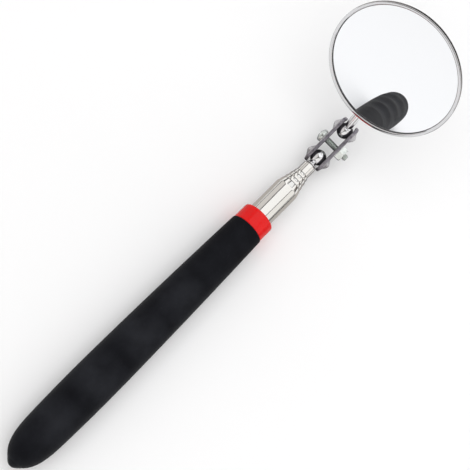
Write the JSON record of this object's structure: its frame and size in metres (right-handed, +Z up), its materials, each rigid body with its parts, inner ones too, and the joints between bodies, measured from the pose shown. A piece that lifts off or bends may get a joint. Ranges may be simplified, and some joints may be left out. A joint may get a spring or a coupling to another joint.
{
  "type": "telescoping inspection mirror",
  "caption": "Round inspection mirror on a stem and a two-ball friction clamp, carried by nested steel tubes that slide out of a padded black grip with a red collar.",
  "frame": {"origin": "bottom centre of the object's box, as it lies with its grip on a surface and its tubes pushed in", "axes": "+X along the tubes from the grip to the clamp, +Z up, away from the surface and on the finger-groove side; the clamp's screw lies along Y"},
  "size_m": [0.1948, 0.0502, 0.0691],
  "materials": {
    "grip": "matt, fine-grained soft black sleeve",
    "collar": "glossy moulded red ring",
    "tube": "polished steel tube",
    "bush": "dull drawn brass",
    "plug": "plain moulded black plug",
    "chrome": "bright chrome plate",
    "plate": "nickel-plated pressed steel",
    "zinc": "zinc-plated fastener",
    "rim": "bright chrome-plated pressed steel",
    "mirror": "clear silvered glass",
    "pad": "thin dark foam"
  },
  "bodies": {
    "handle": {"grip": "grip", "collar": "collar", "tube_1": "tube", "tube_1_end_plug": "plug"},
    "tube_2": {"tube_2": "tube", "friction_bush_2": "bush"},
    "tube_3": {"tube_3": "tube", "friction_bush_3": "bush"},
    "tube_4": {"tube_4": "tube", "friction_bush_4": "bush"},
    "tube_5": {"tube_5": "tube", "friction_bush_5": "bush", "stud_insert": "bush"},
    "ball_stud": {"lower_ball_stud": "chrome"},
    "clamp": {"clamp_plate_left": "plate", "clamp_plate_right": "plate", "clamp_screw": "zinc", "clamp_nut": "zinc"},
    "upper_ball": {"upper_ball": "chrome"},
    "mirror_head": {"mirror_stem": "chrome", "stem_bracket": "plate", "bracket_rivet_left": "zinc", "bracket_rivet_right": "zinc", "mirror_case": "rim", "backing_pad": "pad", "mirror_glass": "mirror"}
  },
  "joints": [
    {"name": "tube_2_slide", "type": "slide", "parent": "handle", "child": "tube_2", "axis": [1, 0, 0], "range_m": [0, 0.11]},
    {"name": "tube_3_slide", "type": "slide", "parent": "tube_2", "child": "tube_3", "axis": [1, 0, 0], "range_m": [0, 0.11]},
    {"name": "tube_4_slide", "type": "slide", "parent": "tube_3", "child": "tube_4", "axis": [1, 0, 0], "range_m": [0, 0.11]},
    {"name": "tube_5_slide", "type": "slide", "parent": "tube_4", "child": "tube_5", "axis": [1, 0, 0], "range_m": [0, 0.11]},
    {"name": "head_spin", "type": "hinge", "parent": "tube_5", "child": "ball_stud", "pos_m": [0.0583, -0.00289, 0.00815], "axis": [1, 0, 0], "continuous": true},
    {"name": "lower_swing", "type": "hinge", "parent": "ball_stud", "child": "clamp", "pos_m": [0.0583, -0.00289, 0.00815], "axis": [0, -1, 0], "range_deg": [-106.3, 73.7]},
    {"name": "upper_swing", "type": "hinge", "parent": "clamp", "child": "upper_ball", "pos_m": [0.07164, -0.00289, 0.01205], "axis": [0, -1, 0], "range_deg": [-136.8, 43.2]},
    {"name": "stem_turn", "type": "hinge", "parent": "upper_ball", "child": "mirror_head", "pos_m": [0.07164, -0.00289, 0.01205], "axis": [0.4512, 0.075, 0.8893], "range_deg": [-180, 180]}
  ]
}
